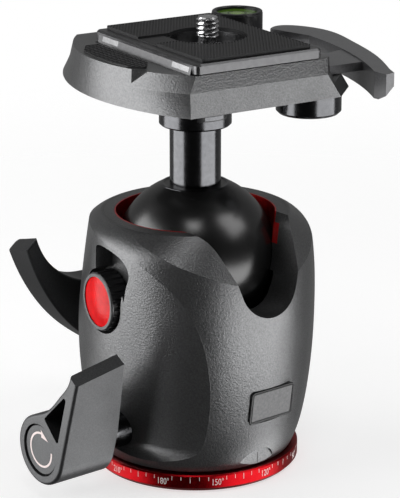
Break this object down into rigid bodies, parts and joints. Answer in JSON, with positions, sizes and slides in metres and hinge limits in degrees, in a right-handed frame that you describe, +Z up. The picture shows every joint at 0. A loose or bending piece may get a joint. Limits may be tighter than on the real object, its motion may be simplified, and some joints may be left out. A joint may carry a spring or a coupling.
{
  "type": "tripod ball head",
  "caption": "Ball head with panning base, drop notch, ball lock, pan lock, friction knob and a quick-release platform with lever, bubble level and camera plate",
  "frame": {"origin": "centre of the base thread, on the bottom face of the base disc", "axes": "+Z up along the base thread; -Y the drop notch and index line; -X the pan lock; +Y the ball lock"},
  "size_m": [0.1156, 0.0934, 0.1304],
  "materials": {
    "powder_coat": "fine-grained near-black powder coat",
    "anodised_red": "satin red anodised aluminium",
    "black_lacquer": "gloss black lacquer",
    "dark_chrome": "polished dark chrome",
    "steel": "turned steel",
    "bright_metal": "satin light grey cast metal",
    "lever_plastic": "satin dark grey technopolymer",
    "lever_coat": "blasted grey coat",
    "black_plastic": "satin black plastic",
    "nylon": "natural low-friction plastic",
    "rubber": "black ribbed rubber",
    "red_enamel": "gloss red dome",
    "vial": "yellow-green fluid in clear plastic",
    "plate_metal": "black satin metal"
  },
  "bodies": {
    "base": {"base_disc": "steel", "scale_ring": "anodised_red", "thread_insert": "steel", "pan_washer": "nylon", "wave_washer": "steel", "spindle_nut": "steel"},
    "housing": {"housing_shell": "powder_coat", "socket_liner": "anodised_red", "top_ring": "black_plastic", "lock_bushing": "dark_chrome", "name_plate": "plate_metal", "pan_bushing": "dark_chrome", "friction_spring": "steel"},
    "ball_lock": {"lock_lever": "lever_plastic", "lock_shaft": "steel", "lock_cap": "black_plastic"},
    "lift": {"lift_ring": "steel"},
    "friction": {"friction_knob": "black_plastic", "friction_screw": "steel", "knob_bezel": "bright_metal", "knob_disc": "red_enamel"},
    "friction_pad": {"friction_plunger": "nylon"},
    "pan_lock": {"pan_lever": "lever_plastic", "pan_shaft": "steel", "pan_cap": "lever_plastic"},
    "pan_brake": {"pan_brake_pad": "nylon"},
    "ball_turner": {"lower_cup": "black_plastic"},
    "ball_tilter": {"ball": "black_lacquer"},
    "head": {"stem": "dark_chrome", "collar": "dark_chrome", "stem_bolt": "steel", "platform": "powder_coat", "level_housing": "black_plastic", "level_vial": "vial", "grip_pad": "rubber", "pivot_boss": "dark_chrome", "lever_pivot": "steel", "lever_spring": "steel", "trip_spring": "steel"},
    "release": {"release_lever": "lever_coat"},
    "trip": {"trip_pin": "steel"},
    "plate": {"camera_plate": "bright_metal", "rubber_pads": "rubber", "screw_washer": "steel"},
    "screw": {"camera_screw": "steel", "screw_ring": "steel"}
  },
  "joints": [
    {"name": "pan", "type": "hinge", "parent": "base", "child": "housing", "pos_m": [0, 0, 0.0153], "axis": [0, 0, 1], "continuous": true},
    {"name": "ball_lock_turn", "type": "hinge", "parent": "housing", "child": "ball_lock", "pos_m": [0, 0.0384, 0.034], "axis": [0, 1, 0], "range_deg": [-85, 0]},
    {"name": "lift_slide", "type": "slide", "parent": "housing", "child": "lift", "axis": [0, 0, -1], "range_m": [0, 0.00035]},
    {"name": "friction_turn", "type": "hinge", "parent": "housing", "child": "friction", "pos_m": [-0.02778, 0.00351, 0.0528], "axis": [-0.9921, 0.1253, 0], "range_deg": [0, 180]},
    {"name": "friction_pad_slide", "type": "slide", "parent": "housing", "child": "friction_pad", "axis": [-0.9921, 0.1253, 0], "range_m": [0, 0.0003]},
    {"name": "pan_lock_turn", "type": "hinge", "parent": "housing", "child": "pan_lock", "pos_m": [-0.0376, 0, 0.0153], "axis": [-1, 0, 0], "range_deg": [0, 90]},
    {"name": "pan_brake_slide", "type": "slide", "parent": "housing", "child": "pan_brake", "axis": [-1, 0, 0], "range_m": [0, 0.0004]},
    {"name": "ball_turn", "type": "hinge", "parent": "housing", "child": "ball_turner", "pos_m": [0, 0, 0.06165], "axis": [0, 0, 1], "range_deg": [-180, 0]},
    {"name": "ball_tilt", "type": "hinge", "parent": "ball_turner", "child": "ball_tilter", "pos_m": [0, 0, 0.06165], "axis": [1, 0, 0], "range_deg": [-42, 90]},
    {"name": "ball_spin", "type": "hinge", "parent": "ball_tilter", "child": "head", "pos_m": [0, 0, 0.06165], "axis": [0, 0, 1], "continuous": true},
    {"name": "release_turn", "type": "hinge", "parent": "head", "child": "release", "pos_m": [0.02607, -0.01861, 0.112], "axis": [0, 0, 1], "range_deg": [-50, 0]},
    {"name": "trip_slide", "type": "slide", "parent": "head", "child": "trip", "axis": [0, 0, 1], "range_m": [0, 0.0026], "deforming": ["trip_spring"]},
    {"name": "plate_tilt", "type": "hinge", "parent": "head", "child": "plate", "pos_m": [-0.01885, 0.00238, 0.1143], "axis": [-0.1253, -0.9921, 0], "range_deg": [0, 5]},
    {"name": "screw_turn", "type": "hinge", "parent": "plate", "child": "screw", "pos_m": [0.00397, -0.0005, 0.116], "axis": [0, 0, 1], "continuous": true}
  ],
  "couplings": [
    {"joint": "lift_slide", "follows": "ball_lock_turn", "m_per_rad": -0.00023592},
    {"joint": "friction_pad_slide", "follows": "friction_turn", "m_per_rad": 0.00009549},
    {"joint": "pan_brake_slide", "follows": "pan_lock_turn", "m_per_rad": 0.00025465},
    {"joint": "trip_slide", "follows": "release_turn", "m_per_rad": -0.0029794},
    {"joint": "plate_tilt", "follows": "release_turn", "ratio": -0.1}
  ]
}
